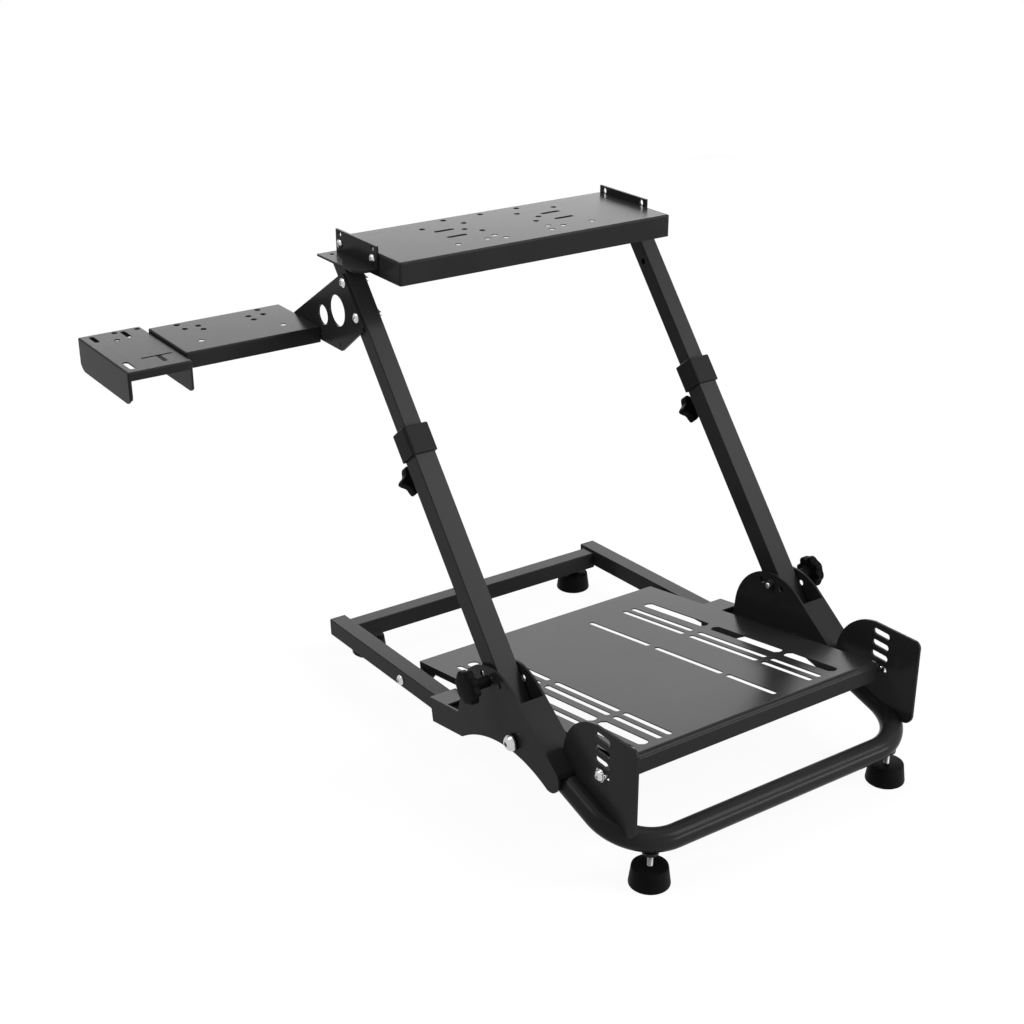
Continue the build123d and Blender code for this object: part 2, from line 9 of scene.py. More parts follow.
# %% Load the frame
import bmesh
import bpy
import json
from math import atan2, cos, pi, radians, sin, sqrt, tau
from mathutils import Matrix, Vector


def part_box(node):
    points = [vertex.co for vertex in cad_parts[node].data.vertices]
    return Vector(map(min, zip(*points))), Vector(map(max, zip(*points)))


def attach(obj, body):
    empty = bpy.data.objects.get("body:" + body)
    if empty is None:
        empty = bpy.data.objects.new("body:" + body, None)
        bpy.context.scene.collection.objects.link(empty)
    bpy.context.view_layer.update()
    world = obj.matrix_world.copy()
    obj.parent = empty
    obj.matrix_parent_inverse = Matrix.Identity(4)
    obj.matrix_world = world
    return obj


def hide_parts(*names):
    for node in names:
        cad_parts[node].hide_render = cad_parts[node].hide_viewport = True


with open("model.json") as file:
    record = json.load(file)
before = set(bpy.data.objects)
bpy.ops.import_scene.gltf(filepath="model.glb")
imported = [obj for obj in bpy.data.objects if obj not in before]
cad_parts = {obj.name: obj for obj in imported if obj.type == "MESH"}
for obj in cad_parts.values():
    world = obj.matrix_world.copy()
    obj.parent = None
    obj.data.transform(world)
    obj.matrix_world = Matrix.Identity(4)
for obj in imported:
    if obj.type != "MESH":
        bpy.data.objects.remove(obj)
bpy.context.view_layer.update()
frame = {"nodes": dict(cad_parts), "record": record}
nodes = frame["nodes"]

# %% [markdown]
# ## Camera
#
# The picture was taken with a lens of normal length from the front left and above. Its place and turn
# were worked out from the stand's parallel edges. A camera could also be aimed with a tracking
# constraint, but plain angles keep the verticals true and are easy to read. The small shift moves the
# picture's centre to where the photograph has it.

# %% Place the camera
picture_px = 1024
focal_px = 1674.5
sensor_mm = 36.0
centre_px = Vector((515.3, 523.8))
camera_place = Vector((-1.1204, -1.6451, 1.2123))
camera_pitch = radians(24.70)
camera_yaw = radians(-34.30)

camera_data = bpy.data.cameras.new("photo_camera")
camera_data.sensor_width = sensor_mm
camera_data.lens = focal_px * sensor_mm / picture_px
camera_data.shift_x = (picture_px / 2 - centre_px.x) / picture_px
camera_data.shift_y = (centre_px.y - picture_px / 2) / picture_px
camera = bpy.data.objects.new("photo_camera", camera_data)
camera.location = camera_place
camera.rotation_euler = (pi / 2 - camera_pitch, 0, camera_yaw)
bpy.context.scene.collection.objects.link(camera)
bpy.context.scene.camera = camera
print("lens", round(camera_data.lens, 1), "mm")

# %% [markdown]
# ## Studio
#
# The stand is shown on plain white. The backdrop is the world itself: white to the camera and to mirror
# rays, and dim to all others, so that it doesn't flood the stand with light. A painted wall could do the
# same, but it would have to stand behind every view.

# %% Make the white room
scene = bpy.context.scene
scene.view_settings.view_transform = "Standard"
room_fill = 0.3
room_white = 1.0


def seen_directly(tree):
    """A value that is 1 for camera, glossy and transmission rays, and 0 for the rest."""
    path = tree.nodes.new("ShaderNodeLightPath")
    total = path.outputs["Is Camera Ray"]
    for kind in ("Is Glossy Ray", "Is Transmission Ray"):
        add = tree.nodes.new("ShaderNodeMath")
        add.operation = "MAXIMUM"
        tree.links.new(total, add.inputs[0])
        tree.links.new(path.outputs[kind], add.inputs[1])
        total = add.outputs[0]
    return total


world = bpy.data.worlds.new("white_room")
world.use_nodes = True
scene.world = world
room = world.node_tree
background = room.nodes["Background"]
background.inputs["Color"].default_value = (1, 1, 1, 1)
ambient = room.nodes.new("ShaderNodeMix")
ambient.data_type = "FLOAT"
ambient.inputs["A"].default_value = room_fill
ambient.inputs["B"].default_value = room_white
room.links.new(seen_directly(room), ambient.inputs["Factor"])
room.links.new(ambient.outputs["Result"], background.inputs["Strength"])
print("room", room_white, "when seen and", room_fill, "as light")

# %% [markdown]
# The floor is pale and matt and catches the stand's shadow. Most of what the camera sees of it is a plain
# white glow, mixed in by the same light path, so the shadow stays faint. Stronger lamps would turn the
# floor white too, but they would also light the stand above a plain level.

# %% Lay the floor
floor_half = 2.6
floor_grey = 0.8
floor_glow = 0.94

floor_mesh = bpy.data.meshes.new("floor")
ground = bmesh.new()
bmesh.ops.create_grid(ground, x_segments=1, y_segments=1, size=floor_half)
ground.to_mesh(floor_mesh)
ground.free()
floor = bpy.data.objects.new("floor", floor_mesh)
scene.collection.objects.link(floor)

floor_paint = bpy.data.materials.new("pale_floor")
floor_paint.use_nodes = True
tree = floor_paint.node_tree
matt = tree.nodes["Principled BSDF"]
matt.inputs["Base Color"].default_value = (floor_grey, floor_grey, floor_grey, 1)
matt.inputs["Roughness"].default_value = 1.0
matt.inputs["Specular IOR Level"].default_value = 0.0
glow = tree.nodes.new("ShaderNodeEmission")
share = tree.nodes.new("ShaderNodeMath")
share.operation = "MULTIPLY"
share.inputs[1].default_value = floor_glow
mix = tree.nodes.new("ShaderNodeMixShader")
tree.links.new(seen_directly(tree), share.inputs[0])
tree.links.new(share.outputs[0], mix.inputs["Fac"])
tree.links.new(matt.outputs["BSDF"], mix.inputs[1])
tree.links.new(glow.outputs["Emission"], mix.inputs[2])
tree.links.new(mix.outputs["Shader"], tree.nodes["Material Output"].inputs["Surface"])
floor_mesh.materials.append(floor_paint)
print("floor", 2 * floor_half, "m wide")

# %% [markdown]
# Black paint has almost no colour of its own, so what shows its shape is the light that it mirrors. Level
# faces mirror the softboxes at the back: a large one for the deck and the pedal plate, a weak low one, and
# a narrow one for the tops of the rails. The leaning uprights mirror a large softbox far off at the front
# right, and the front tube a low fill lamp under it. One lamp above and one at the left lift the rest. One
# even sky would be quicker, but then all faces would look alike.

# %% Hang the lamps


def softbox(name, place, target, width, height, power):
    """A rectangular area lamp aimed at a point."""
    lamp = bpy.data.lights.new(name, "AREA")
    lamp.shape = "RECTANGLE"
    lamp.size = width
    lamp.size_y = height
    lamp.energy = power
    holder = bpy.data.objects.new(name, lamp)
    holder.location = place
    holder.rotation_euler = (Vector(target) - Vector(place)).to_track_quat("-Z", "Y").to_euler()
    scene.collection.objects.link(holder)


softbox("back_softbox", (1.7, 2.6, 1.45), (0, 0, 0.3), width=3.4, height=2.6, power=43)
softbox("low_back_softbox", (1.65, 2.45, 0.55), (0, 0, 0.2), width=3.4, height=0.9, power=8)
softbox("rail_softbox", (0.95, 1.5, 0.76), (0.1, 0.1, 0.1), width=2.4, height=0.36, power=5.5)
softbox("top_softbox", (0.3, 0.2, 3.0), (0, 0, 0), width=2.0, height=2.0, power=32)
softbox("front_fill", (1.7, -2.75, 0.6), (0, 0, 0.3), width=1.8, height=0.6, power=66)
softbox("left_softbox", (-1.4, 0.6, 2.1), (0, -0.3, 0.1), width=1.0, height=1.0, power=24)
softbox("front_softbox", (3.0, -3.0, 4.05), (0, 0, 0.35), width=2.2, height=2.2, power=210)

# %% [markdown]
# ## The grain of a skin
#
# Powder coat, moulded plastic, rubber and zinc plate all have a fine texture that blurs what they mirror,
# and slower changes over a hand's width. Both come from noise on object coordinates, so the same node
# group serves every finish with its own scales. The alternative, one noise tree per material, would repeat
# the same nodes.

# %% Build the shared grain
grain = bpy.data.node_groups.new("skin_grain", "ShaderNodeTree")
for name, start in (("Fine Scale", 1000.0), ("Broad Scale", 20.0)):
    socket = grain.interface.new_socket(name, in_out="INPUT", socket_type="NodeSocketFloat")
    socket.default_value = start
for name in ("Fine", "Broad"):
    grain.interface.new_socket(name, in_out="OUTPUT", socket_type="NodeSocketFloat")
scales = grain.nodes.new("NodeGroupInput")
results = grain.nodes.new("NodeGroupOutput")
place = grain.nodes.new("ShaderNodeTexCoord")
for name, detail in (("Fine", 2.0), ("Broad", 4.0)):
    noise = grain.nodes.new("ShaderNodeTexNoise")
    noise.inputs["Detail"].default_value = detail
    grain.links.new(place.outputs["Object"], noise.inputs["Vector"])
    grain.links.new(scales.outputs[name + " Scale"], noise.inputs["Scale"])
    grain.links.new(noise.outputs["Fac"], results.inputs[name])
print("grain group with", len(grain.nodes), "nodes")

# %% [markdown]
# ## Finishes
#
# Every finish on the stand is made alike. The broad noise moves it between two colours and two
# roughnesses, as handling and uneven curing do, and the fine noise bumps the surface. Separate node trees
# would allow more differences, but one recipe keeps the finishes easy to compare.

# %% Write the recipe of a finish


def finish(name, colours, roughness, scales, bump, metallic=0.0, specular=0.5):
    """A material that wanders between two greys and two roughnesses, with a bumped grain."""
    material = bpy.data.materials.new(name)
    material.use_nodes = True
    tree = material.node_tree
    shader = tree.nodes["Principled BSDF"]
    shader.inputs["Metallic"].default_value = metallic
    shader.inputs["Specular IOR Level"].default_value = specular
    skin = tree.nodes.new("ShaderNodeGroup")
    skin.node_tree = grain
    skin.inputs["Fine Scale"].default_value = scales[0]
    skin.inputs["Broad Scale"].default_value = scales[1]
    tint = tree.nodes.new("ShaderNodeMix")
    tint.data_type = "RGBA"
    for end, grey in zip(("A", "B"), colours):
        socket = [s for s in tint.inputs if s.name == end and s.type == "RGBA"][0]
        socket.default_value = (*grey, 1)
    tree.links.new(skin.outputs["Broad"], tint.inputs["Factor"])
    tint_out = [s for s in tint.outputs if s.type == "RGBA"][0]
    tree.links.new(tint_out, shader.inputs["Base Color"])
    dull = tree.nodes.new("ShaderNodeMapRange")
    dull.inputs["To Min"].default_value = roughness[0]
    dull.inputs["To Max"].default_value = roughness[1]
    tree.links.new(skin.outputs["Broad"], dull.inputs["Value"])
    tree.links.new(dull.outputs["Result"], shader.inputs["Roughness"])
    ripple = tree.nodes.new("ShaderNodeBump")
    ripple.inputs["Strength"].default_value = bump[0]
    ripple.inputs["Distance"].default_value = bump[1]
    tree.links.new(skin.outputs["Fine"], ripple.inputs["Height"])
    tree.links.new(ripple.outputs["Normal"], shader.inputs["Normal"])
    return material


print("recipe on", grain.name)

# %% [markdown]
# Powder coat is a baked plastic skin: nearly black, with an orange-peel ripple about a millimetre wide.
# The collars and the knobs are mouldings with a fine texture, the knobs duller and blacker. The feet are
# dull rubber, the bolts bright zinc plate and the studs of the feet a duller one. Spacers, lock nuts and
# the washers over the feet are black oxide. A low specular level keeps the black faces black in a white
# room. A darker room would do that too, but then the bolts would lose their shine.

# %% Mix the finishes and coat the solids
powder_coat = finish("powder_coat", ((0.013, 0.013, 0.0134), (0.018, 0.018, 0.0184)),
                     roughness=(0.19, 0.27), scales=(900.0, 14.0), bump=(0.1, 0.0002), specular=0.037)
collar_plastic = finish("collar_plastic", ((0.010, 0.010, 0.0103), (0.014, 0.014, 0.0143)),
                        roughness=(0.28, 0.38), scales=(2200.0, 30.0), bump=(0.25, 0.00015),
                        specular=0.021)
knob_plastic = finish("knob_plastic", ((0.003, 0.003, 0.0031), (0.006, 0.006, 0.0062)),
                      roughness=(0.34, 0.44), scales=(2200.0, 30.0), bump=(0.35, 0.00015),
                      specular=0.012)
rubber = finish("foot_rubber", ((0.002, 0.002, 0.002), (0.0036, 0.0036, 0.0036)),
                roughness=(0.45, 0.6), scales=(1600.0, 45.0), bump=(0.4, 0.0002), specular=0.034)
zinc = finish("bright_zinc", ((0.48, 0.48, 0.49), (0.62, 0.62, 0.63)),
              roughness=(0.16, 0.30), scales=(1800.0, 160.0), bump=(0.1, 0.00008), metallic=1.0)
dull_zinc = finish("dull_zinc", ((0.22, 0.22, 0.225), (0.32, 0.32, 0.325)),
                   roughness=(0.32, 0.45), scales=(1500.0, 140.0), bump=(0.15, 0.0001), metallic=1.0)
black_oxide = finish("black_oxide", ((0.012, 0.012, 0.0123), (0.020, 0.020, 0.0205)),
                     roughness=(0.34, 0.48), scales=(1500.0, 120.0), bump=(0.15, 0.0001), specular=0.08)

finishes = {"black_steel": powder_coat, "black_plastic": collar_plastic, "black_rubber": rubber,
            "zinc": zinc}
for part in frame["record"]["subparts"]:
    mesh = nodes[part["node"]].data
    mesh.materials.clear()
    mesh.materials.append(finishes[part["material_slot"]])
print("finishes", [m.name for m in bpy.data.materials])

# %% [markdown]
# ## A lathe in ring steps
#
# Bolts, nuts, knobs, studs and feet are all bodies about one axis. Spinning a profile would make the
# round ones, but a hexagon socket, a nut or a lobed knob isn't round. So the lathe here starts from a
# capped circle and extrudes its edge ring by ring. Each ring has a radius, a height and an outline that
# says how far out the ring lies at each angle: 1 all round for a circle, more at the corners of a hexagon,
# less between lobes.

# %% Make the lathe
mm = 0.001


def circle(angle):
    """Outline of a plain round ring."""
    return 1.0


def hexagon(angle):
    """Outline of a hexagon whose flats are at 1."""
    return 1.0 / cos((angle + pi / 6) % (pi / 3) - pi / 6)


def lobed(count, depth, power):
    """Outline of a hand knob: a power over 1 makes broad round lobes, one under 1 a pointed star."""
    return lambda angle: 1.0 - depth * (0.5 - 0.5 * cos(count * angle)) ** power


def turned(rings, segments=24):
    """A closed body about Z from rings of (radius, height) or (radius, height, outline), in mm."""
    body = bmesh.new()
    bmesh.ops.create_circle(body, cap_ends=True, segments=segments, radius=1.0)
    corners, loop = set(body.verts), body.edges[:]
    for number, ring in enumerate(rings):
        radius, height = ring[:2]
        outline = ring[2] if len(ring) > 2 else circle
        if number:
            grown = bmesh.ops.extrude_edge_only(body, edges=loop)["geom"]
            corners = {v for v in grown if isinstance(v, bmesh.types.BMVert)}
            edges = [e for e in grown if isinstance(e, bmesh.types.BMEdge)]
            loop = [e for e in edges if corners.issuperset(e.verts)]
        for corner in corners:
            angle = atan2(corner.co.y, corner.co.x)
            reach = radius * outline(angle)
            corner.co = Vector((reach * cos(angle), reach * sin(angle), height)) * mm
    bmesh.ops.contextual_create(body, geom=loop)
    bmesh.ops.recalc_face_normals(body, faces=body.faces)
    return body


print("lathe ready, a hexagon's corners are at", round(hexagon(pi / 6), 4))

# %% [markdown]
# The lathe works about the vertical axis at the origin. The next helpers carry a turned body to its place,
# make it an object that rides on one of the moving bodies, and measure the solids that it has to fit.
# Most places could be typed in as numbers. They are read from the solids' boxes, so the hardware follows.

# %% Make the helpers for placing and measuring
crease = radians(38)


def stand_at(body, origin, axis):
    """Moves a body from the origin and +Z to a point and an axis."""
    turn = Vector(axis).to_track_quat("Z", "Y").to_matrix().to_4x4()
    bmesh.ops.transform(body, matrix=Matrix.Translation(origin) @ turn, verts=body.verts)
    return body


def piece(name, body, material, rides, stands_for=()):
    """Turns a finished bmesh into an object that rides on a body of the frame."""
    mesh = bpy.data.meshes.new(name)
    bmesh.ops.recalc_face_normals(body, faces=body.faces)
    body.to_mesh(mesh)
    body.free()
    mesh.shade_smooth()
    mesh.set_sharp_from_angle(angle=crease)
    mesh.materials.append(material)
    made = bpy.data.objects.new(name, mesh)
    scene.collection.objects.link(made)
    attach(made, rides)
    if stands_for:
        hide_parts(*stands_for)


def corners_of(node):
    """Lowest and highest corner of a node as vectors."""
    return [Vector(corner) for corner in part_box(node)]


def middle(node):
    """Middle of a node's box."""
    low, high = corners_of(node)
    return (low + high) / 2


def outer_x(node, side):
    """The x of a node's face on the outer side of the stand, and of its inner face."""
    low, high = corners_of(node)
    return (high.x, low.x) if side > 0 else (low.x, high.x)


sides = {"right": 1, "left": -1}

# %% [markdown]
# ## Bolts
#
# The stand is held by domed bolts with a hexagon socket, turned in from outside, with spacers and nuts on
# the inner side. A bolt could be a stack of separate cylinders, but one closed body from the socket's
# floor to the far nut has no hidden faces. The dome is part of a ball, worked out from the head's radius
# and rise.

# %% List the rings of heads, nuts and ends


def dome_head(radius, height, base, across):
    """Rings of a domed head from the floor of its socket to its underside, which is at base."""
    rim = 0.28 * height
    rise = height - rim
    ball = (radius**2 + rise**2) / (2 * rise)

    def crown(reach):
        return base + rim + sqrt(ball**2 - reach**2) - (ball - rise)

    lip = 0.62 * across
    socket_floor = crown(lip) - 0.5 * height
    socket_rim = crown(lip) - 0.05 * height
    rings = [(across / 2, socket_floor, hexagon), (across / 2, socket_rim, hexagon)]
    domed = (lip, 0.5 * (lip + radius), 0.8 * radius, 0.93 * radius)
    rings += [(reach, crown(reach)) for reach in domed]
    rings += [(0.99 * radius, base + rim), (radius, base + 0.6 * rim)]
    return rings + [(radius, base + 0.1 * rim), (0.97 * radius, base)]


def nut_rings(across, top, bottom):
    """Rings of a hexagon nut with chamfered corners."""
    edge = 0.12 * (top - bottom)
    flat = across / 2
    return [(0.9 * across / 2, top), (flat, top - edge, hexagon), (flat, bottom + edge, hexagon),
            (0.9 * across / 2, bottom)]


def bolt_end(radius, start, end):
    """Rings of a chamfered bolt end."""
    chamfer = 0.8
    return [(radius, start), (radius, end + chamfer), (radius - chamfer, end)]


print("a head of 8 mm takes", len(dome_head(8.0, 5.0, 0.0, 5.0)), "rings")

# %% [markdown]
# The uprights fold on two large bolts through the cheeks of the side brackets. A thick plastic washer lies
# under each head, and thin spacers inside keep the upright off the cheeks. The spacers could be pieces of
# their own, but they are as bright as the bolt, so they are wider rings on it.

# %% Model the pivot bolts
bracket_sheet = 3.0
pivot_radius = 5.0
pivot_head = (10.8, 10.0)
pivot_socket = 6.0
pivot_nut = 16.0
pivot_nut_h = 3.0
pivot_spacer_radius = 7.8
pivot_spacer_h = 1.5
pivot_washer_radius = 10.4
pivot_washer_face = 9.6
pivot_washer_h = 3.5
pivot_washer_edge = 0.6
pivot_bore = pivot_radius + 0.2

pivot_washer_rings = [(pivot_bore, 0), (pivot_washer_face, 0), (pivot_washer_radius, pivot_washer_edge),
                      (pivot_washer_radius, pivot_washer_h - pivot_washer_edge),
                      (pivot_washer_face, pivot_washer_h), (pivot_bore, pivot_washer_h)]
for word, side in sides.items():
    node = word + "_pivot_bolt"
    outside, inside = outer_x(word + "_bracket", side)
    across = abs(outside - inside) / mm
    start = Vector((outside, *middle(node).yz))
    washer = stand_at(turned(pivot_washer_rings, segments=32), start, (side, 0, 0))
    piece(word + "_pivot_washer", washer, knob_plastic, "base")
    rings = dome_head(*pivot_head, pivot_washer_h, pivot_socket)
    for near, far in ((-bracket_sheet, -bracket_sheet - pivot_spacer_h),
                      (bracket_sheet + pivot_spacer_h - across, bracket_sheet - across)):
        rings += [(pivot_radius, near), (pivot_spacer_radius, near), (pivot_spacer_radius, far),
                  (pivot_radius, far)]
    rings += [(pivot_radius, -across)] + nut_rings(pivot_nut, -across, -across - pivot_nut_h)
    rings += [(pivot_radius - 0.5, -across - pivot_nut_h)]
    bolt = stand_at(turned(rings, segments=36), start, (side, 0, 0))
    piece(word + "_pivot_bolt_turned", bolt, zinc, "base", [node])
print("pivot bolts", round(across, 1), "mm between cheek faces")

# %% [markdown]
# The pedal plate turns on two smaller bolts. Each goes through a rail, a spacer tube and a lug of the
# plate. The spacer is a piece of its own, because it is black and the bolt is bright. A little play is
# left between the spacer and the lug, so that the plate can turn.

# %% Model the axles of the pedal plate
small_radius = 4.0
small_head = (7.5, 5.0)
small_socket = 5.0
axle_nut = 13.0
axle_nut_h = 6.0
spacer_radius = 7.0
spacer_edge = 0.5
lug_sheet = 1.5
play = 0.3


def spacer(near, far):
    """A spacer tube between two heights, with eased rims."""
    face = spacer_radius - spacer_edge
    rings = [(small_radius, near), (face, near), (spacer_radius, near - spacer_edge)]
    rings += [(spacer_radius, far + spacer_edge), (face, far), (small_radius, far)]
    return turned(rings, segments=36)


for word, side in sides.items():
    node = word + "_pedal_pivot"
    outside, inside = outer_x(word + "_rail", side)
    rail_in = -abs(outside - inside) / mm
    lug_out = -abs(outside - outer_x("pedal_plate", side)[0]) / mm
    nut_top = lug_out - lug_sheet - play
    nut_low = nut_top - axle_nut_h
    rings = dome_head(*small_head, 0.0, small_socket)
    rings += [(small_radius, 0), (small_radius, nut_top)]
    rings += nut_rings(axle_nut, nut_top, nut_low) + [(small_radius - 0.6, nut_low)]
    start = Vector((outside, *middle(node).yz))
    axle = stand_at(turned(rings, segments=36), start, (side, 0, 0))
    piece(word + "_pedal_axle", axle, zinc, "base", [node])
    tube = stand_at(spacer(rail_in, lug_out + play), start, (side, 0, 0))
    piece(word + "_axle_spacer", tube, black_oxide, "base")
print("axles reach", round(-nut_low, 1), "mm in from the rails")

# %% [markdown]
# At the front the plate is held by two bolts through the slots of the ears. They have a pressed washer
# under the head, a small shoulder behind the ear and the same black spacer. The washer could be a disc of
# its own, but as rings of the bolt's profile it closes up with the head and can't overlap it.

# %% Model the clamp screws of the pedal plate
clamp_washer_radius = 8.5
clamp_washer_face = 8.2
clamp_washer_h = 3.5
clamp_washer_edge = 0.4
shoulder_radius = 5.6
shoulder_h = 1.2
for word, side in sides.items():
    node = word + "_pedal_clamp"
    outside, inside = outer_x(word + "_pedal_ear", side)
    ear_in = -abs(outside - inside) / mm
    shoulder_end = ear_in - shoulder_h
    spacer_end = -abs(outside - outer_x("pedal_plate", side)[0]) / mm + play
    rings = dome_head(*small_head, clamp_washer_h, small_socket)
    rings += [(clamp_washer_face, clamp_washer_h),
              (clamp_washer_radius, clamp_washer_h - clamp_washer_edge),
              (clamp_washer_radius, clamp_washer_edge), (clamp_washer_face, 0)]
    rings += [(small_radius, 0), (small_radius, ear_in), (shoulder_radius, ear_in),
              (shoulder_radius, shoulder_end), (small_radius, shoulder_end), (small_radius, spacer_end)]
    start = Vector((outside, *middle(node).yz))
    clamp = stand_at(turned(rings, segments=36), start, (side, 0, 0))
    piece(word + "_pedal_screw", clamp, zinc, "base", [node])
    tube = stand_at(spacer(shoulder_end, spacer_end), start, (side, 0, 0))
    piece(word + "_clamp_spacer", tube, black_oxide, "base")
print("clamp screws reach", round(-spacer_end, 1), "mm in from the ears")

# %% [markdown]
# The deck hangs between two angles on the uprights, with two bolts at each end. Their nuts and bare ends
# show from below. Here the solids have only holes, so the bolts are new pieces that replace nothing. They
# could be copies of one object, but each is turned at its own place, so that its object can stay at the
# origin.

# %% Model the deck bolts
deck_bolt_radius = 3.0
deck_bolt_head = (6.0, 3.6)
deck_bolt_from_front = (11.0, 96.0)
deck_bolt_below_top = 18.5
deck_sheet = 1.2
angle_sheet = 3.0


def through_bolt(radius, head, socket, grip, nut, nut_h, bare_end):
    """A bolt with its head at height 0 and a nut under its grip, cut off at a bare end below that."""
    rings = dome_head(*head, 0.0, socket) + [(radius, 0), (radius, -grip)]
    rings += nut_rings(nut, -grip, -grip - nut_h)
    return turned(rings + bolt_end(radius, -grip - nut_h, -grip - bare_end))


for word, side in sides.items():
    low, high = corners_of(word + "_deck_angle")
    face_x = outer_x("wheel_deck", side)[0] + side * angle_sheet * mm
    for number, from_front in enumerate(deck_bolt_from_front):
        start = Vector((face_x, low.y + from_front * mm, high.z - deck_bolt_below_top * mm))
        bolt = through_bolt(deck_bolt_radius, deck_bolt_head, socket=4.0, grip=angle_sheet + deck_sheet,
                            nut=10.0, nut_h=5.0, bare_end=8.0)
        bolt = stand_at(bolt, start, (side, 0, 0))
        piece(f"{word}_deck_bolt_{number}", bolt, zinc, "upper")
print("deck bolts clamp", round(angle_sheet + deck_sheet, 1), "mm of sheet")

# %% [markdown]
# The gusset of the shifter shelf is held by two longer bolts through the left upright. The upright leans,
# so their places are given by a distance along it from the pivot. A frame turned to the lean could hold
# them as well, but two places need no more than a sine and a cosine.

# %% Model the gusset bolts
lean = radians(39.4)
pivot = middle("left_pivot_bolt")
gusset_bolt_radius = 4.0
gusset_bolt_head = (6.6, 4.2)
gusset_bolt_at = (625.0, 575.0)


def on_upright(x, along):
    """The point at an x and at a distance in mm from the pivot along the leaning uprights."""
    return Vector((x, pivot.y + along * mm * sin(lean), pivot.z + along * mm * cos(lean)))


gusset_out = corners_of("shifter_gusset")[0].x
gusset_grip = (corners_of("left_upper_tube")[1].x - gusset_out) / mm
for number, along in enumerate(gusset_bolt_at):
    bolt = through_bolt(gusset_bolt_radius, gusset_bolt_head, socket=5.0, grip=gusset_grip, nut=11.0,
                        nut_h=5.5, bare_end=8.0)
    bolt = stand_at(bolt, on_upright(gusset_out, along), (-1, 0, 0))
    piece(f"gusset_bolt_{number}", bolt, zinc, "upper")
print("gusset bolts go through", round(gusset_grip, 1), "mm")

# %% [markdown]
# ## Knobs
#
# The lock knobs are thin wheels with eight lobes on a long hub, with a short bright screw into the
# bracket. The lobes are shallow at the face and deeper at the back, so each ring list gets two outlines.
# A knob's rim is rounded by a few close rings at its edges, which a Bevel modifier could do too, but here
# the list already has the heights.

# %% Model the lock knobs
lock_size = 45.0
lock_wheel_h = 12.0
lock_edge = 2.0
lock_hub = 27.0
lock_hub_radius = 7.5
lock_bore = 4.0
lock_gap = 2.5
lock_screw_radius = 4.2
lock_face = lobed(count=8, depth=0.07, power=1.2)
lock_back = lobed(count=8, depth=0.2, power=1.2)


def lobed_knob(size, thickness, base, face_outline, back_outline, edge):
    """Rings of a lobed knob from its domed outer face down to its back, which is at base."""
    radius = size / 2
    top = base + thickness
    dome = 0.7
    shoulder = top - dome
    rings = [(0.2 * radius, top), (0.55 * radius, top - 0.2), (radius - edge, shoulder, face_outline)]
    for reach, drop in ((0.5, 0.15), (0.15, 0.5), (0.0, 1.0)):
        rings += [(radius - reach * edge, shoulder - drop * edge, face_outline)]
    for reach, rise in ((0.0, 1.0), (0.15, 0.5), (0.5, 0.15), (1.0, 0.0)):
        rings += [(radius - reach * edge, base + rise * edge, back_outline)]
    return rings


lock_rings = lobed_knob(lock_size, lock_wheel_h, lock_hub, lock_face, lock_back, lock_edge)
for flare, drop in ((2.5, 0.2), (1.1, 0.8), (0.2, 2.2)):
    lock_rings += [(lock_hub_radius + flare, lock_hub - drop)]
lock_rings += [(lock_hub_radius, lock_gap + 0.5), (lock_hub_radius - 0.5, lock_gap),
               (lock_bore, lock_gap)]
screw_rings = [(lock_screw_radius, lock_gap + 0.5), (lock_screw_radius, -bracket_sheet + 0.4),
               (lock_screw_radius - 0.4, -bracket_sheet)]
for word, side in sides.items():
    node = word + "_lock_knob"
    start = Vector((outer_x(word + "_bracket", side)[0], *middle(node).yz))
    knob = stand_at(turned(lock_rings, segments=96), start, (side, 0, 0))
    piece(word + "_lock_wheel", knob, knob_plastic, "base", [node])
    screw = stand_at(turned(screw_rings), start, (side, 0, 0))
    piece(word + "_lock_screw", screw, zinc, "base")
print("lock knobs", lock_size, "mm across")

# %% [markdown]
# The lock screws end in flanged nuts on the inner cheeks, which show between the uprights. A nut with a
# flange could be a disc joined to a prism, but one ring list makes both as a closed body. The end of the
# screw is bright and the nut black, so they are two pieces.

# %% Model the lock nuts
lock_nut = 11.0
lock_nut_h = 5.0
lock_flange_radius = 7.6
lock_flange_h = 1.4
lock_nut_root = 6.0
lock_end = 8.0
lock_end_radius = 3.9
tip_chamfer = 0.8
nut_face = lock_flange_radius - 0.2
flange_rings = [(lock_screw_radius, 0), (nut_face, 0), (lock_flange_radius, 0.4), (nut_face, 1.0),
                (lock_nut_root, lock_flange_h)]
flange_rings += nut_rings(lock_nut, lock_flange_h, lock_nut_h)[1:] + [(lock_screw_radius, lock_nut_h)]
tip_rings = [(lock_end_radius, 0.2), (lock_end_radius, lock_end - tip_chamfer),
             (lock_end_radius - tip_chamfer, lock_end)]
for word, side in sides.items():
    inside = outer_x(word + "_bracket", side)[1]
    start = Vector((inside, *middle(word + "_lock_knob").yz))
    nut = stand_at(turned(flange_rings), start, (-side, 0, 0))
    piece(word + "_lock_nut", nut, black_oxide, "base")
    tip = stand_at(turned(tip_rings), start, (-side, 0, 0))
    piece(word + "_lock_screw_end", tip, zinc, "base")
print("lock screws end", lock_end, "mm inside the cheeks")

# %% [markdown]
# The height knobs under the collars have five deep lobes on a stepped neck, and press on the inner tube
# with a short screw. They ride on the lower tubes and point back and down, square to the lean. The star
# could be cut from a disc with five cylinders, but an outline gives the lobes without boolean cuts.

# %% Model the height knobs
height_knob_at = 358.8
height_size = 40.0
height_knob_h = 15.0
height_edge = 1.5
tube_half = 15.0
boss_radius = 8.0
boss = 7.0
neck_radius = 6.5
neck = 11.0
height_screw_radius = 4.0
screw_tip = 13.1
knob_axis = Vector((0, cos(lean), -sin(lean)))

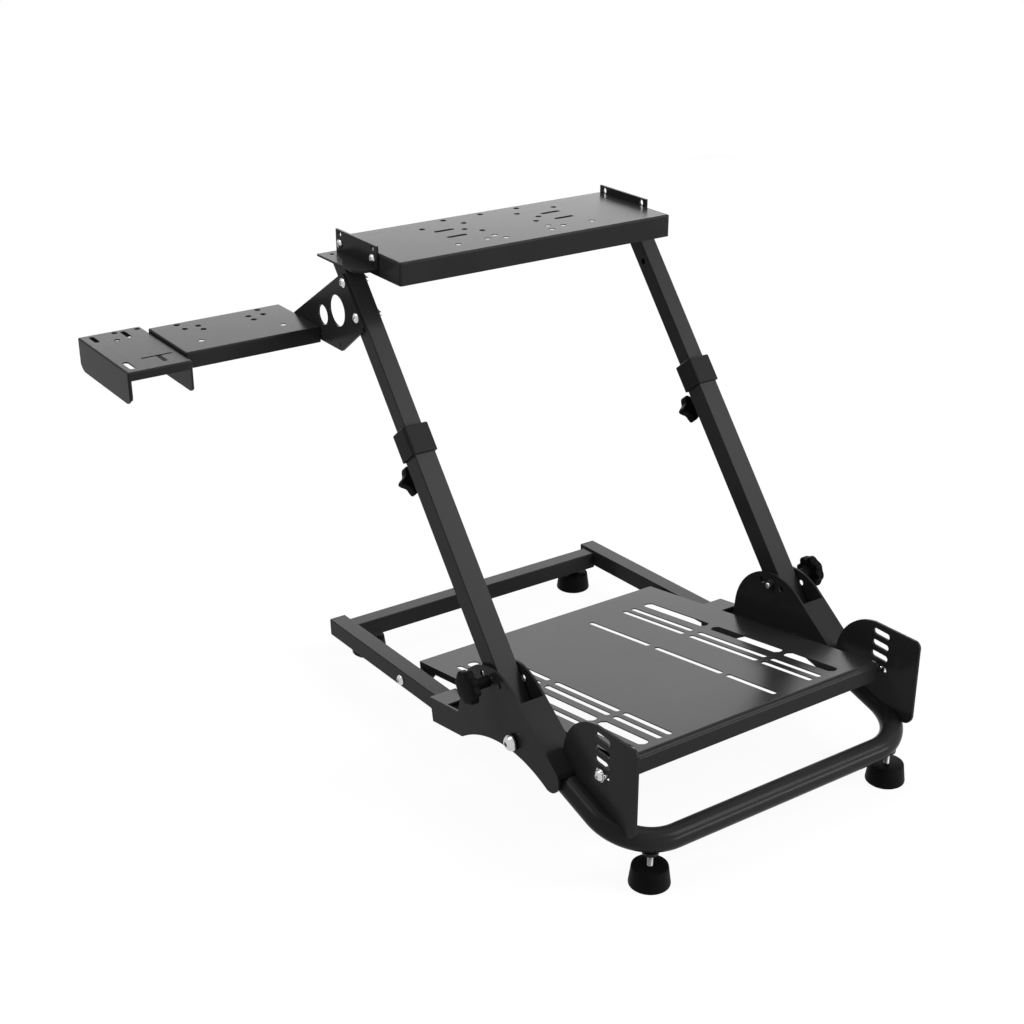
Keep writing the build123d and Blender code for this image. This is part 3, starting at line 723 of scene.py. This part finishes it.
boss_top = tube_half + boss
neck_top = boss_top + neck
star = lobed(count=5, depth=0.31, power=0.7)
height_rings = lobed_knob(height_size, height_knob_h, neck_top, star, star, height_edge)
for flare, drop in ((2.0, 0.2), (0.5, 1.0), (0.0, 2.5)):
    height_rings += [(neck_radius + flare, neck_top - drop)]
height_rings += [(neck_radius, boss_top + 0.8), (boss_radius - 0.6, boss_top),
                 (boss_radius, boss_top - 0.6), (boss_radius, tube_half)]
height_rings += [(height_screw_radius, tube_half), (height_screw_radius, screw_tip)]
for word in sides:
    node = word + "_height_knob"
    start = on_upright(middle(word + "_lower_tube").x, height_knob_at)
    knob = stand_at(turned(height_rings, segments=90), start, knob_axis)
    piece(word + "_height_wheel", knob, knob_plastic, "uprights", [node])
print("height knobs", height_size, "mm across")

# %% [markdown]
# ## Feet
#
# The front feet are rubber cones that screw up and down to level the stand. Each has a rounded rim, a hole
# for its stud and a shallow hollow underneath, so that it stands on a ring. A cone primitive would give
# the slope, but not the rims.

# %% Model the front feet
foot_height = 25.5
foot_radii = (22.6, 25.6)
hollow_radius = 20.0
hollow_depth = 0.8
stud_radius = 3.7
stud_sunk = 12.0


def foot_rings(inner):
    """Rings of a rubber foot from its top, which starts at an inner radius, to its hollow."""
    top, bottom = foot_radii
    rings = [(inner, foot_height), (top - 1.2, foot_height), (top - 0.3, foot_height - 0.4)]
    rings += [(top, foot_height - 1.3), (bottom, 1.8), (bottom - 0.2, 0.7), (bottom - 1.0, 0)]
    return rings + [(hollow_radius, 0), (hollow_radius - 0.8, hollow_depth)]


def on_floor(node):
    """The point on the floor under the middle of a node."""
    centre = middle(node)
    return Vector((centre.x, centre.y, 0))


for word in sides:
    rings = [(stud_radius, foot_height - stud_sunk)] + foot_rings(stud_radius)
    foot = stand_at(turned(rings, segments=48), on_floor(word + "_foot_stud"), (0, 0, 1))
    piece(word + "_foot_cone", foot, rubber, "base", [word + "_front_foot"])
print("feet", 2 * foot_radii[1], "mm across")

# %% [markdown]
# The studs between the cones and the tube carry a real thread: a small triangle swept up and round by spin
# with a rise at each step, on a plain core. A bump texture would be cheaper, but a stud this bright shows
# its outline. A thin black washer sits over it, under the tube.

# %% Cut the studs and turn their washers
thread_depth = 0.5
thread_pitch = 1.25
core_sunk = 8.0
core_above = 2.0
thread_sunk = 3.0
thread_above = 1.0
washer_bottom = 42.0
washer_top = 46.4
washer_radius = 10.4


def helix(radius, depth, pitch, low, high, steps=24):
    """A thread's ridge about Z between two heights."""
    ridge = bmesh.new()
    root = radius - depth
    profile = ((root, 0, low), (radius, 0, low + pitch / 2), (root, 0, low + pitch * 0.98))
    ridge.faces.new([ridge.verts.new(Vector(corner) * mm) for corner in profile])
    turns = int((high - low) / pitch)
    bmesh.ops.spin(ridge, geom=ridge.faces[:] + ridge.edges[:] + ridge.verts[:], cent=(0, 0, 0),
                   axis=(0, 0, 1), dvec=(0, 0, pitch * mm / steps), angle=turns * tau,
                   steps=turns * steps, use_duplicate=False)
    return ridge


core_radius = stud_radius - thread_depth
core_rings = [(core_radius, foot_height - core_sunk), (core_radius, washer_bottom + core_above)]
foot_washer_rings = [(stud_radius, washer_bottom), (washer_radius - 1.2, washer_bottom),
                     (washer_radius - 0.3, washer_bottom + 0.5), (washer_radius, washer_bottom + 1.3),
                     (washer_radius, washer_top), (stud_radius, washer_top)]
for word in sides:
    node = word + "_foot_stud"
    stud = turned(core_rings)
    ridge = helix(stud_radius, thread_depth, thread_pitch, foot_height - thread_sunk,
                  washer_bottom + thread_above)
    thread = bpy.data.meshes.new("thread")
    ridge.to_mesh(thread)
    ridge.free()
    stud.from_mesh(thread)
    bpy.data.meshes.remove(thread)
    stud = stand_at(stud, on_floor(node), (0, 0, 1))
    piece(word + "_foot_screw", stud, dull_zinc, "base", [node])
    washer = stand_at(turned(foot_washer_rings, segments=36), on_floor(node), (0, 0, 1))
    piece(word + "_foot_washer", washer, black_oxide, "base")
print("studs show", round(washer_bottom - foot_height, 1), "mm of thread")

# %% [markdown]
# The rear feet are the same cones without a thread to turn: a short neck holds each one close under the
# cross bar. A neck of its own would leave faces hidden in the rubber, so it is part of the same closed
# body.

# %% Model the rear feet
foot_neck_radius = 6.8
for word in sides:
    node = word + "_rear_foot"
    neck_end = corners_of(node)[1].z / mm
    rings = [(foot_neck_radius, neck_end), (foot_neck_radius, foot_height + 0.5)]
    foot = turned(rings + foot_rings(foot_neck_radius + 0.8), segments=48)
    foot = stand_at(foot, on_floor(node), (0, 0, 1))
    piece(word + "_rear_cone", foot, rubber, "base", [node])
print("rear feet", round(neck_end, 1), "mm high with their necks")
